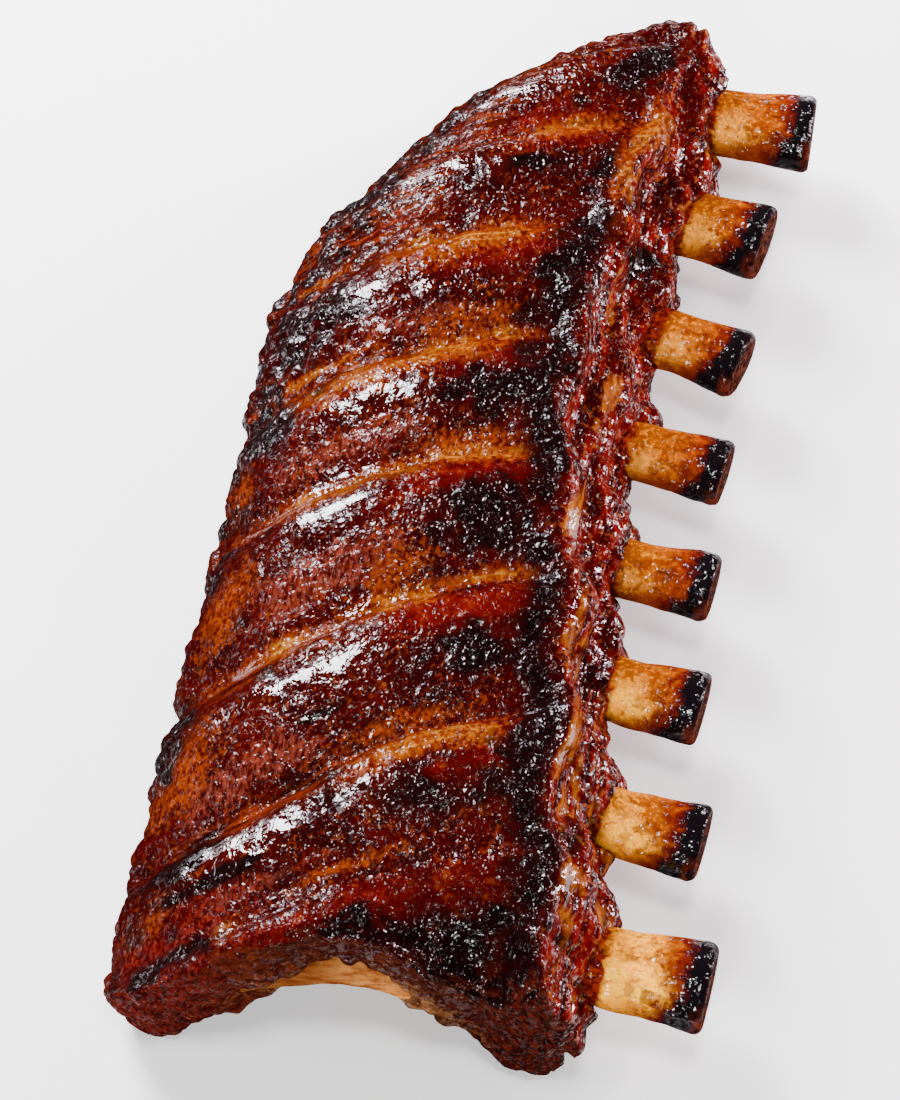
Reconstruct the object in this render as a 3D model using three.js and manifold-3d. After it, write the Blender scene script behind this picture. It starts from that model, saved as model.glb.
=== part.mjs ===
// Barbecue spareribs: a slab of eight ribs under a glazed, charred crust, lying meat side up.
// Millimetres, +Z up. +Y runs along the slab from the cut near end to the tapered far end,
// and +X points out along the bared bone ends. The slab arches, so it rests on its two long edges.
import * as THREE from "three";
import { mergeVertices } from "three/addons/utils/BufferGeometryUtils.js";
import Module from "manifold-3d";

const wasm = await Module();
wasm.setup();

// Driving dimensions of the slab.
const NEAR_END = -124;
const FAR_END = 176;
const LEFT_EDGE = -58;
const TAPER_FROM = 68;
const TAPER_ROUNDNESS = 1.45;
const FAR_TIP_X = 24;
const CROWN_HEIGHT = 47;
const CREST_HEIGHT = 45;
const ARCH_RISE = 22;
const LEFT_THICKNESS = 20;
const BONE_LEVEL = 19;
const FOOT_DEPTH = 1;
const FLAT_UNDER = 0.25;
const END_FADE = 45;
const END_DROOP = 12;
const DROOP_REACH = 24;

// Relief of the crust.
const HUMP_HEIGHT = 4.6;
const LAST_HUMP_SHARE = 0.35;
const HUMP_LEAN = 0.62;
const VALLEY_ROUNDNESS = 0.2;
const SIDE_FOLD_DEPTH = 1.7;
const COLLAR_HEIGHT = 2.2;
const SCALLOP_DEPTH = 2.0;
const NODULE_SIZE = 9.5;
const EDGE_NODULE_HEIGHT = 2.4;
const TOP_NODULE_HEIGHT = 0.9;

// Mesh steps across and through the slab, and along it for each rib.
const ACROSS = 22;
const THROUGH = 8;
const ROWS_PER_RIB = 7;

// The ribs from the far end to the near end: where each leaves the meat, the slope of its bared
// end in plan, its width, and how far it stands out.
const RIBS = [
  { rootX: 46, rootY: 151, slope: 0, width: 21, bare: 28, hidden: [0.72, 0.52, 0.34] },
  { rootX: 44, rootY: 115, slope: -0.2, width: 20.5, bare: 22 },
  { rootX: 42, rootY: 76, slope: -0.28, width: 18, bare: 23 },
  { rootX: 39, rootY: 39, slope: -0.16, width: 16.6, bare: 26 },
  { rootX: 42, rootY: 3, slope: -0.12, width: 16.7, bare: 24.5 },
  { rootX: 45, rootY: -32, slope: -0.12, width: 17.8, bare: 23.4 },
  { rootX: 48, rootY: -68, slope: -0.12, width: 17.4, bare: 25.4 },
  { rootX: 54, rootY: -106, slope: -0.08, width: 20, bare: 25.8, hidden: [0.72, 0.52, 0.36, 0.24] },
];
const HIDDEN_SHARES = [0.72, 0.52, 0.32, 0.15];
const RIB_FLATNESS = 0.7;
const RIB_FLARE = 1.14;
const RIB_SIDES = 12;
const RIB_RINGS = 9;
const RIB_PROUD = 2.0;
const TIP_ROUNDING = 2.4;
const SEAM_GAP = 0.35;

const mix = (a, b, share) => a + (b - a) * share;
const clamp = (value, low, high) => Math.min(high, Math.max(low, value));
function ease(low, high, value) {
  const share = clamp((value - low) / (high - low), 0, 1);
  return share * share * (3 - 2 * share);
}

// A smooth curve through [position, value] pairs, level beyond both ends.
function through(...pairs) {
  const slopeAt = (i) => {
    const before = pairs[Math.max(i - 1, 0)];
    const after = pairs[Math.min(i + 1, pairs.length - 1)];
    return (after[1] - before[1]) / (after[0] - before[0]);
  };
  return (position) => {
    const at = clamp(position, pairs[0][0], pairs.at(-1)[0]);
    let i = 0;
    while (i < pairs.length - 2 && at > pairs[i + 1][0]) i += 1;
    const span = pairs[i + 1][0] - pairs[i][0];
    const t = (at - pairs[i][0]) / span;
    return (
      pairs[i][1] * (2 * t ** 3 - 3 * t ** 2 + 1) +
      slopeAt(i) * span * (t ** 3 - 2 * t ** 2 + t) +
      pairs[i + 1][1] * (3 * t ** 2 - 2 * t ** 3) +
      slopeAt(i + 1) * span * (t ** 3 - t ** 2)
    );
  };
}

// Smooth noise from -1 to 1 on a lattice of unit cells, the same on every run.
const CORNERS = [0, 1].flatMap((i) => [0, 1].flatMap((j) => [0, 1].map((k) => [i, j, k])));
function latticeValue(i, j, k) {
  const wave = Math.sin(i * 127.1 + j * 311.7 + k * 74.7) * 43758.5453;
  return (wave - Math.floor(wave)) * 2 - 1;
}
function noise(x, y, z) {
  const cell = [Math.floor(x), Math.floor(y), Math.floor(z)];
  const [u, v, w] = [x - cell[0], y - cell[1], z - cell[2]].map((t) => t * t * (3 - 2 * t));
  let sum = 0;
  for (const [di, dj, dk] of CORNERS) {
    const weight = (di ? u : 1 - u) * (dj ? v : 1 - v) * (dk ? w : 1 - w);
    sum += weight * latticeValue(cell[0] + di, cell[1] + dj, cell[2] + dk);
  }
  return sum;
}

// Plan outline. The left edge is straight and rounds away into the tapered far end.
function leftEdge(y) {
  if (y <= TAPER_FROM) return LEFT_EDGE;
  const along = clamp((y - TAPER_FROM) / (FAR_END - TAPER_FROM), 0, 1);
  const across = (1 - along ** TAPER_ROUNDNESS) ** (1 / TAPER_ROUNDNESS);
  return FAR_TIP_X - (FAR_TIP_X - LEFT_EDGE) * across;
}

// How far along the ribs a row lies: 0 at the first rib, 1 at the second, and so on.
function ribPlace(y) {
  if (y >= RIBS[0].rootY) return (RIBS[0].rootY - y) / (RIBS[0].rootY - RIBS[1].rootY);
  const last = RIBS.length - 1;
  for (let i = 0; i < last; i += 1) {
    if (y >= RIBS[i + 1].rootY) return i + (RIBS[i].rootY - y) / (RIBS[i].rootY - RIBS[i + 1].rootY);
  }
  return last + (RIBS[last].rootY - y) / (RIBS[last - 1].rootY - RIBS[last].rootY);
}

// The row at that place along the ribs.
function rowAtPlace(place) {
  const i = clamp(Math.floor(place), 0, RIBS.length - 2);
  return mix(RIBS[i].rootY, RIBS[i + 1].rootY, place - i);
}

// The right edge bows inwards at mid length, and stands out just behind each rib.
const rightBow = through(
  [-124, 51.5], [-104, 51], [-68, 46.5], [-32, 43], [3, 40],
  [40, 38.3], [76, 39.5], [115, 43], [150, 47], [172, 44],
);
function rightEdge(y) {
  return rightBow(y) + SCALLOP_DEPTH * Math.cos(2 * Math.PI * (ribPlace(y) + 0.3));
}
const crestInset = through([-124, 9], [-50, 10], [30, 14.5], [85, 15.5], [125, 12], [165, 8]);
const heightShare = through([-124, 1.0], [60, 1.0], [130, 0.92], [176, 0.74]);

// Meat humps lie over the ribs, and swing towards the near end as they run left.
const humpSwing = through([0, -39], [0.13, -35], [0.34, -26], [0.59, -13], [0.85, -4], [1, 0]);
const swingShare = through([-87, 1.2], [-50, 1.35], [-14, 1.08], [21, 0.78], [96, 0.76], [176, 0.6]);
const rowShare = through(
  [-124, 0], [-90, 0.4], [-50, 0.95], [-14, 1.05], [21, 0.85], [96, 0.76], [176, 0.5],
);
const swing = (share, y) => humpSwing(share) * swingShare(y);

// The closed outline of the slab's cross-section, as points [x, z] in four runs that meet at corners.
// Its two feet reach a little too low, and are cut flat later, so that the slab rests on two strips.
function sectionOutline(y) {
  const left = leftEdge(y);
  const right = rightEdge(y);
  const width = right - left;
  const crest = right - crestInset(y) * Math.min(1, width / 60);
  const high = heightShare(y);
  const rise = ARCH_RISE * high * Math.min(1, width / 80);
  const crown = CROWN_HEIGHT * high;
  const edge = LEFT_THICKNESS * mix(0.85, 1, high);
  const droop = END_DROOP * (1 - ease(NEAR_END, NEAR_END + DROOP_REACH, y));
  const over = (share, z) => [mix(left, crest, share), z];
  const under = (share, z) => [mix(left, right, share), z];
  return {
    top: [
      over(0.035, edge),
      over(0.15, mix(edge, crown, 0.42)),
      over(0.33, mix(edge, crown, 0.8)),
      over(0.56, mix(edge, crown, 0.98) - droop * 0.1),
      over(0.75, crown * 0.985 - droop * 0.8),
      over(0.9, crown * 0.955 - droop),
    ],
    right: [
      [crest, CREST_HEIGHT * high * 0.985],
      [mix(crest, right, 0.55), mix(BONE_LEVEL, CREST_HEIGHT * high, 0.66)],
      [mix(crest, right, 0.9), mix(BONE_LEVEL, CREST_HEIGHT * high, 0.28)],
      [right, BONE_LEVEL - 3],
      [mix(left, right, 0.965), 5],
    ],
    bottom: [
      under(0.93, -FOOT_DEPTH),
      under(0.87, -FOOT_DEPTH),
      under(0.78, rise * 0.3),
      under(0.64, rise * 0.8),
      under(0.48, rise),
      under(0.33, rise * 0.78),
      under(0.2, rise * 0.3),
    ],
    left: [
      under(0.125, -FOOT_DEPTH),
      under(0.06, -FOOT_DEPTH),
      under(0.015, edge * 0.25),
      under(0.0, edge * 0.58),
    ],
  };
}

// The four runs as evenly spaced points, each run ending where the next begins.
function sectionRuns(y) {
  const outline = sectionOutline(y);
  const runs = [outline.top, outline.right, outline.bottom, outline.left];
  const points = runs.flat().map(([x, z]) => new THREE.Vector3(x, 0, z));
  const curve = new THREE.CatmullRomCurve3(points, true, "catmullrom", 0.5);
  const steps = [ACROSS, THROUGH, ACROSS, THROUGH];
  let from = 0;
  return runs.map((run, r) => {
    const fine = [];
    for (let s = 0; s <= run.length * 8; s += 1) {
      fine.push(curve.getPoint(((from + s / 8) / points.length) % 1));
    }
    from += run.length;
    return evenly(fine, steps[r]);
  });
}

// A polyline cut into steps of equal length.
function evenly(points, steps) {
  const reach = [0];
  for (let i = 1; i < points.length; i += 1) {
    reach.push(reach[i - 1] + points[i].distanceTo(points[i - 1]));
  }
  const made = [];
  let i = 0;
  for (let s = 0; s <= steps; s += 1) {
    const goal = (reach.at(-1) * s) / steps;
    while (i < points.length - 2 && reach[i + 1] < goal) i += 1;
    const share = (goal - reach[i]) / (reach[i + 1] - reach[i]);
    made.push(points[i].clone().lerp(points[i + 1], share));
  }
  return made;
}

// One cross-section as a grid of points: a along the width, c from the underside to the top.
function sectionGrid(y) {
  const [top, right, bottomBack, leftUp] = sectionRuns(y);
  const bottom = [...bottomBack].reverse();
  const rightUp = [...right].reverse();
  return (a, c) => {
    const s = a / ACROSS;
    const t = c / THROUGH;
    const corners = bottom[0].clone().multiplyScalar((1 - s) * (1 - t));
    corners.addScaledVector(bottom[ACROSS], s * (1 - t));
    corners.addScaledVector(top[0], (1 - s) * t).addScaledVector(top[ACROSS], s * t);
    const blend = bottom[a].clone().multiplyScalar(1 - t).addScaledVector(top[a], t);
    blend.addScaledVector(leftUp[c], 1 - s).addScaledVector(rightUp[c], s);
    return blend.sub(corners);
  };
}

// Rows along the slab. Each swings with the humps, and the last rows before each end draw in,
// so that the end face has round edges.
const END_ROWS = 3;
const NEAR_ROUNDING = { reach: 4, draw: 0.16 };
const FAR_ROUNDING = { reach: 9, draw: 0.72 };
function slabRows() {
  const near = NEAR_END + NEAR_ROUNDING.reach;
  const far = FAR_END - FAR_ROUNDING.reach;
  const rows = [];
  for (let row = 0; row < END_ROWS; row += 1) {
    const turn = (row / END_ROWS) * (Math.PI / 2);
    const y = near - NEAR_ROUNDING.reach * Math.cos(turn);
    rows.push({ y, draw: NEAR_ROUNDING.draw * (1 - Math.sin(turn)) });
  }
  const steps = Math.round((ribPlace(near) - ribPlace(far)) * ROWS_PER_RIB);
  for (let step = 0; step <= steps; step += 1) {
    rows.push({ y: rowAtPlace(mix(ribPlace(near), ribPlace(far), step / steps)), draw: 0 });
  }
  for (let row = END_ROWS - 1; row >= 0; row -= 1) {
    const turn = (row / END_ROWS) * (Math.PI / 2);
    const y = far + FAR_ROUNDING.reach * Math.cos(turn);
    rows.push({ y, draw: FAR_ROUNDING.draw * (1 - Math.sin(turn)) });
  }
  return rows;
}

// Plan lines of the two ends. The near cut is hollow at mid width, the far end falls away to the right.
const nearLine = through(
  [-58, -130], [-45, -133], [-25, -127], [-5, -120], [15, -121], [32, -125], [45, -127], [54, -125],
);
const farLine = through([22, 177], [34, 178], [48, 164]);
function endShift(x, y) {
  const near = 1 - ease(NEAR_END, NEAR_END + END_FADE, y);
  const far = ease(FAR_END - END_FADE, FAR_END, y);
  return near * (nearLine(x) - NEAR_END) + far * (farLine(x) - FAR_END);
}

// The bare slab, as the faces of a box of grid steps, bent to shape.
function slabGeometry() {
  const rows = slabRows();
  const along = rows.length - 1;
  const columns = rows.map((row) => Array.from({ length: ACROSS + 1 }, (_, a) => {
    const y = row.y + humpSwing(a / ACROSS) * rowShare(row.y);
    return { y, grid: sectionGrid(y) };
  }));
  const place = (a, b, c) => {
    const { y, grid } = columns[b][a];
    const point = grid(a, c);
    if (rows[b].draw > 0) {
      const inward = clamp(a, ACROSS * 0.07, ACROSS * 0.93);
      const low = grid(Math.floor(inward), THROUGH / 2);
      const high = grid(Math.ceil(inward), THROUGH / 2);
      point.lerp(low.lerp(high, inward % 1), rows[b].draw);
    }
    return [point.x, y + endShift(point.x, y), point.z];
  };
  const positions = [];
  const face = (wide, tall, corner, flip) => {
    for (let p = 0; p < wide; p += 1) {
      for (let q = 0; q < tall; q += 1) {
        const [k, l, m, n] = [corner(p, q), corner(p + 1, q), corner(p + 1, q + 1), corner(p, q + 1)];
        const turned = (p + q) % 2 ? [k, l, m, k, m, n] : [k, l, n, l, m, n];
        positions.push(...(flip ? turned.reverse() : turned).flat());
      }
    }
  };
  face(ACROSS, along, (p, q) => place(p, q, THROUGH), false);
  face(ACROSS, along, (p, q) => place(p, q, 0), true);
  face(along, THROUGH, (p, q) => place(0, p, q), true);
  face(along, THROUGH, (p, q) => place(ACROSS, p, q), false);
  face(ACROSS, THROUGH, (p, q) => place(p, 0, q), false);
  face(ACROSS, THROUGH, (p, q) => place(p, along, q), true);
  const geometry = new THREE.BufferGeometry();
  geometry.setAttribute("position", new THREE.Float32BufferAttribute(positions, 3));
  return mergeVertices(geometry, 1e-3);
}

// Humps over the ribs rise fast on their far side and fall slowly, and are low by the near end.
function humpRelief(x, y) {
  const share = clamp((x - leftEdge(y)) / (rightEdge(y) - leftEdge(y)), 0, 1);
  let row = y;
  for (let pass = 0; pass < 4; pass += 1) row = y - swing(share, row);
  const place = ribPlace(row) + 0.5;
  const phase = place - Math.floor(place);
  const swell = Math.hypot(Math.sin(Math.PI * phase ** HUMP_LEAN), VALLEY_ROUNDNESS) - 0.64;
  return HUMP_HEIGHT * swell * mix(1, LAST_HUMP_SHARE, ease(6.6, 7.1, place));
}

// How much the crust stands out from the bare slab at a point whose outward normal is given.
function relief(x, y, z, normal) {
  const crest = rightEdge(y) - crestInset(y);
  const upward = ease(0.15, 0.6, normal.z) * (1 - ease(crest - 10, crest + 2, x));
  const sideways = ease(0.1, 0.6, normal.x) * ease(5, 14, z);
  const edgeward = 1 - ease(0.2, 0.75, Math.abs(normal.z));
  let out = upward * humpRelief(x, y);
  const fold = (CREST_HEIGHT - z) / 15 + 0.22 * Math.sin(y / 21) + 0.12 * noise(y / 14, z / 20, 3);
  out += sideways * SIDE_FOLD_DEPTH * Math.cos(2 * Math.PI * fold);
  for (const rib of RIBS) {
    const ring = Math.hypot(y - rib.rootY, (z - BONE_LEVEL) * 1.2) - rib.width * 0.62;
    out += sideways * COLLAR_HEIGHT * Math.exp(-((ring / 4.5) ** 2));
  }
  const lumps = noise(x / NODULE_SIZE + 7, y / NODULE_SIZE, z / NODULE_SIZE + 3);
  const small = noise(x / 5 + 1, y / 5 + 5, z / 5);
  out += mix(TOP_NODULE_HEIGHT, EDGE_NODULE_HEIGHT, edgeward) * (0.7 * lumps + 0.3 * small);
  return out * ease(0, 5, z);
}

// The slab with its crust, standing on z = 0.
function crustedSlab() {
  const geometry = slabGeometry();
  geometry.computeVertexNormals();
  const position = geometry.getAttribute("position");
  const normals = geometry.getAttribute("normal");
  const point = new THREE.Vector3();
  const normal = new THREE.Vector3();
  for (let i = 0; i < position.count; i += 1) {
    point.fromBufferAttribute(position, i);
    normal.fromBufferAttribute(normals, i);
    point.addScaledVector(normal, relief(point.x, point.y, point.z, normal));
    if (point.z < FLAT_UNDER) point.z = 0;
    position.setXYZ(i, point.x, point.y, point.z);
  }
  return geometry;
}

// Height of the slab's underside at a share of its width.
function undersideHeight(share, y) {
  const width = rightEdge(y) - leftEdge(y);
  const rise = ARCH_RISE * heightShare(y) * Math.min(1, width / 80);
  return rise * Math.max(0, Math.cos(((share - 0.48) / 0.4) * (Math.PI / 2))) ** 0.9;
}

// The last rib follows the cut near end, and its side shows there below the meat at mid width.
const lastRibLine = through([0.15, -121], [0.32, -119], [0.52, -115], [0.72, -112]);

// A rib's centre line from its bared tip to its hidden end near the slab's left edge.
function ribPath(rib) {
  const points = [];
  points.push([rib.rootX + rib.bare, rib.rootY + rib.slope * rib.bare, BONE_LEVEL + 0.4]);
  points.push([rib.rootX + rib.bare * 0.4, rib.rootY + rib.slope * rib.bare * 0.4, BONE_LEVEL]);
  points.push([rib.rootX - 6, rib.rootY - 0.5, BONE_LEVEL]);
  const right = rightEdge(rib.rootY);
  for (const share of rib.hidden ?? HIDDEN_SHARES) {
    let y = rib.rootY;
    let x = rib.rootX;
    for (let pass = 0; pass < 6; pass += 1) {
      x = mix(leftEdge(y), right, share);
      y = rib === RIBS.at(-1) ? lastRibLine(share) : rib.rootY + swing(share, rib.rootY) * 0.8;
    }
    const height = undersideHeight(share, y) + (rib.width * RIB_FLATNESS) / 2 - RIB_PROUD;
    points.push([x, y, Math.max(height, 10)]);
  }
  const path = points.map(([x, y, z]) => new THREE.Vector3(x, y, z));
  return new THREE.CatmullRomCurve3(path, false, "catmullrom", 0.5);
}

// A rib as an oval tube along its path, flared and cut square at the tip, rounded at the hidden end.
function ribGeometry(rib, extra) {
  const path = ribPath(rib);
  const length = path.getLength();
  const across = new THREE.Vector3();
  const upward = new THREE.Vector3();
  const rings = [];
  const addRing = (distance, scale) => {
    const at = clamp(distance / length, 0, 1);
    const centre = path.getPointAt(at);
    const ahead = path.getTangentAt(at);
    centre.addScaledVector(ahead, distance - at * length);
    across.set(-ahead.y, ahead.x, 0).normalize();
    upward.crossVectors(ahead, across).normalize();
    const flare = mix(RIB_FLARE, 1, ease(0, rib.bare * 0.8, distance));
    const taper = mix(1, 0.8, ease(length * 0.5, length, distance));
    const wide = (rib.width / 2) * flare * taper * scale + extra;
    const tall = wide * RIB_FLATNESS + extra * (1 - RIB_FLATNESS);
    const ring = [];
    for (let s = 0; s < RIB_SIDES; s += 1) {
      const turn = (s / RIB_SIDES) * 2 * Math.PI;
      const point = centre.clone();
      point.addScaledVector(across, Math.cos(turn) * wide);
      point.addScaledVector(upward, Math.sin(turn) * tall);
      ring.push(point);
    }
    rings.push(ring);
  };
  addRing(-extra, 0.8);
  addRing(TIP_ROUNDING * 0.4 - extra, 0.94);
  for (let r = 0; r < RIB_RINGS; r += 1) {
    addRing(mix(TIP_ROUNDING * 1.2, length - 5, r / (RIB_RINGS - 1)), 1);
  }
  addRing(length - 2, 0.8);
  addRing(length + extra, 0.4);
  return tubeGeometry(rings);
}

// A closed solid from rings of points, with a fan of triangles over each end.
function tubeGeometry(rings) {
  const sides = rings[0].length;
  const points = rings.flat();
  const indices = [];
  for (let r = 0; r < rings.length - 1; r += 1) {
    for (let s = 0; s < sides; s += 1) {
      const [a, b] = [r * sides + s, r * sides + ((s + 1) % sides)];
      indices.push(a, b, a + sides, b, b + sides, a + sides);
    }
  }
  const middle = (ring) => ring.reduce((sum, p) => sum.add(p), new THREE.Vector3()).divideScalar(sides);
  points.push(middle(rings[0]), middle(rings.at(-1)));
  const last = (rings.length - 1) * sides;
  for (let s = 0; s < sides; s += 1) {
    const next = (s + 1) % sides;
    indices.push(points.length - 2, next, s);
    indices.push(points.length - 1, last + s, last + next);
  }
  const geometry = new THREE.BufferGeometry().setFromPoints(points);
  return geometry.setIndex(indices);
}

function solid(geometry) {
  const bare = geometry.clone();
  bare.deleteAttribute("normal");
  const merged = mergeVertices(bare, 1e-4);
  return new wasm.Manifold(
    new wasm.Mesh({
      numProp: 3,
      vertProperties: merged.getAttribute("position").array,
      triVerts: new Uint32Array(merged.index.array),
    }),
  );
}

function geometryOf(manifold) {
  const mesh = manifold.getMesh();
  const geometry = new THREE.BufferGeometry();
  geometry.setAttribute("position", new THREE.BufferAttribute(mesh.vertProperties, 3));
  geometry.setIndex(new THREE.BufferAttribute(mesh.triVerts, 1));
  geometry.computeVertexNormals();
  return geometry;
}

const crustMaterial = new THREE.MeshStandardMaterial({ color: 0x5a140a, roughness: 0.3, metalness: 0 });
const boneMaterial = new THREE.MeshStandardMaterial({ color: 0xc98f4a, roughness: 0.45, metalness: 0 });

// The meat lies round the ribs with a thin seam, so each rib is cut out of it a little oversize.
function meat() {
  let body = solid(crustedSlab());
  if (body.volume() < 0) throw new Error("the slab's faces point inwards");
  for (const rib of RIBS) body = body.subtract(solid(ribGeometry(rib, SEAM_GAP)));
  const largest = body.decompose().sort((a, b) => b.volume() - a.volume())[0];
  const mesh = new THREE.Mesh(geometryOf(largest), crustMaterial);
  mesh.name = "meat";
  return mesh;
}

const spareribs = new THREE.Group();
spareribs.name = "spareribs";
spareribs.add(meat());
RIBS.forEach((rib, i) => {
  const bone = new THREE.Mesh(geometryOf(solid(ribGeometry(rib, 0))), boneMaterial);
  bone.name = `rib_bone_${i + 1}`;
  spareribs.add(bone);
});

// The origin lies on the rest plane, below the middle of the whole piece.
const middle = new THREE.Box3().setFromObject(spareribs).getCenter(new THREE.Vector3());
for (const piece of spareribs.children) piece.geometry.translate(-middle.x, -middle.y, 0);

export default spareribs;
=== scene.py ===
import math
from itertools import product
from types import SimpleNamespace

import bpy
import numpy as np
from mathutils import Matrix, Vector


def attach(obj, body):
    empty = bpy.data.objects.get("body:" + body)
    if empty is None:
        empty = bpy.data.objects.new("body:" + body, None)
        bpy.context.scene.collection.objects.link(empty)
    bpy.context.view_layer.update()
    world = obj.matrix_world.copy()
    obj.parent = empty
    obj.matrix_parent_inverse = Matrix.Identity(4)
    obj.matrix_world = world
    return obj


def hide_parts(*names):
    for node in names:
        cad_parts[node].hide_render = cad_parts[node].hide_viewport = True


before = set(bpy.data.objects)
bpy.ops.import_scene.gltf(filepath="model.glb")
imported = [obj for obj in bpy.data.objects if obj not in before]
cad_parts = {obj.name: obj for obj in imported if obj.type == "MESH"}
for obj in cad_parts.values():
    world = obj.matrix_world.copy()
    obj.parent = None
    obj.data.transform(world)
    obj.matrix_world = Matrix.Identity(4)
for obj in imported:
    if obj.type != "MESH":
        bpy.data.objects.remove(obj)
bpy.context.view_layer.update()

# Barbecue spareribs: a slab of glazed, charred meat over eight ribs with bared ends.
# Lengths are in millimetres in a plan frame of the slab's own: +Y along the slab from the cut
# near end, +X out along the bared bones, +Z up. ORIGIN is the model's origin in that frame.
ORIGIN = np.array([10.574, 19.936, 0.0])
METRE = 0.001
IMAGE_HEIGHT = 1100

# The slab's dimensions, as in the solids.
NEAR_END = -124.0
FAR_END = 176.0
LEFT_EDGE = -58.0
TAPER_FROM = 68.0
TAPER_ROUNDNESS = 1.45
FAR_TIP_X = 24.0
CROWN_HEIGHT = 47.0
CREST_HEIGHT = 45.0
ARCH_RISE = 22.0
LEFT_THICKNESS = 20.0
BONE_LEVEL = 19.0
FOOT_DEPTH = 1.0
FLAT_UNDER = 0.25
END_FADE = 45.0
END_DROOP = 12.0
DROOP_REACH = 24.0

HUMP_HEIGHT = 4.6
LAST_HUMP_SHARE = 0.35
HUMP_LEAN = 0.62
VALLEY_ROUNDNESS = 0.2
SIDE_FOLD_DEPTH = 1.7
COLLAR_HEIGHT = 2.2
SCALLOP_DEPTH = 2.0
NODULE_SIZE = 9.5
EDGE_NODULE_HEIGHT = 2.4
TOP_NODULE_HEIGHT = 0.9

# The rounding of the slab's two ends: how far along the slab it goes, and what share of the way
# to the middle each end face is drawn in.
NEAR_REACH = 4.0
NEAR_DRAW = 0.16
FAR_REACH = 9.0
FAR_DRAW = 0.72

# Each rib's root, slope of its bared end in plan, width, bared length and paleness.
RIB_ROOTS = np.array([
    [46, 151], [44, 115], [42, 76], [39, 39], [42, 3], [45, -32], [48, -68], [54, -106],
], float)
RIB_SLOPES = [0, -0.2, -0.28, -0.16, -0.12, -0.12, -0.12, -0.08]
RIB_WIDTHS = [21, 20.5, 18, 16.6, 16.7, 17.8, 17.4, 20]
RIB_BARE = [28, 22, 23, 26, 24.5, 23.4, 25.4, 25.8]
RIB_PALENESS = [0.45, 0.42, 0.36, 0.34, 0.16, 0.66, 0.76, 1.0]
LAST_RIB = 7

# Where the ribs run under the slab, as shares across it, and their form.
HIDDEN_SHARES = [0.72, 0.52, 0.32, 0.15]
FIRST_HIDDEN_SHARES = [0.72, 0.52, 0.34]
LAST_HIDDEN_SHARES = [0.72, 0.52, 0.36, 0.24]
RIB_FLATNESS = 0.7
RIB_FLARE = 1.14
RIB_PROUD = 2.0
LOWEST_RIB = 10.0
TIP_ROUNDING = 2.4
TIP_FACE = 0.84
END_HOLLOW = 1.1
FACE_RINGS = [0.2, 0.4, 0.6, 0.74, TIP_FACE]
END_DISTANCES = np.array([3.5, 2, 0.8, 0])
END_RINGS = [0.92, 0.8, 0.62, 0.4]

# A rib's lift is how far its surface is turned up and away from the near end; the bone's colour uses it
# for painted light and shade. The marks are the values that its mesh carries for the material.
LIFT_UP = 0.54
LIFT_NEAR = 0.84
RIB_MARKS = ("tip", "bare", "lift", "end_face", "paleness")

# Mesh steps of the fine crust and of the fine ribs, and of the table of the slab's sections.
ACROSS = 150
THROUGH = 44
ROWS_PER_RIB = 54
END_ROWS = 12
RIB_SIDES = 64
RIB_RINGS = 130
TIP_STEPS = 8
TABLE_STEP = 0.5
TABLE_FINENESS = 240
RUN_STEPS = 8
PATH_STEPS = 60

# How bright the light on the crust is, the clear coat of crust and bone, and the floor's greys.
LIGHT_LEVEL = 4.2
COAT_ROUGHNESS = 0.06
COAT_IOR = 1.5
FLOOR_TONE = 0.86
FLOOR_CLOUD = 0.98 * FLOOR_TONE

# The humps' own coordinates in metres: the slab's width, and a step from rib to rib.
SLAB_ACROSS = 0.1
RIB_SPACING = 0.0367


def mix(a, b, share):
    return a + (b - a) * share


def ease(low, high, value):
    share = np.clip((value - low) / (high - low), 0, 1)
    return share * share * (3 - 2 * share)


def bell(value, width):
    return np.exp(-((value / width) ** 2))


def through(*pairs):
    """A smooth curve through (position, value) pairs, level beyond both ends."""
    at = np.array([pair[0] for pair in pairs], float)
    value = np.array([pair[1] for pair in pairs], float)
    before = np.maximum(np.arange(len(at)) - 1, 0)
    after = np.minimum(np.arange(len(at)) + 1, len(at) - 1)
    slope = (value[after] - value[before]) / (at[after] - at[before])

    def curve(position):
        position = np.clip(position, at[0], at[-1])
        i = np.searchsorted(at[1:-1], position, side="left")
        span = at[i + 1] - at[i]
        t = (position - at[i]) / span
        return (
            value[i] * (2 * t**3 - 3 * t**2 + 1)
            + slope[i] * span * (t**3 - 2 * t**2 + t)
            + value[i + 1] * (3 * t**2 - 2 * t**3)
            + slope[i + 1] * span * (t**3 - t**2)
        )

    return curve


def lattice_value(i, j, k):
    wave = np.sin(i * 127.1 + j * 311.7 + k * 74.7) * 43758.5453
    return (wave - np.floor(wave)) * 2 - 1


def noise(x, y, z):
    """Smooth noise from -1 to 1 on a lattice of unit cells."""
    x, y, z = np.broadcast_arrays(x, y, z)
    cell = [np.floor(part) for part in (x, y, z)]
    u, v, w = [t * t * (3 - 2 * t) for t in (x - cell[0], y - cell[1], z - cell[2])]
    total = np.zeros(np.shape(u))
    for di, dj, dk in product((0, 1), repeat=3):
        weight = (u if di else 1 - u) * (v if dj else 1 - v) * (w if dk else 1 - w)
        total += weight * lattice_value(cell[0] + di, cell[1] + dj, cell[2] + dk)
    return total


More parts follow.
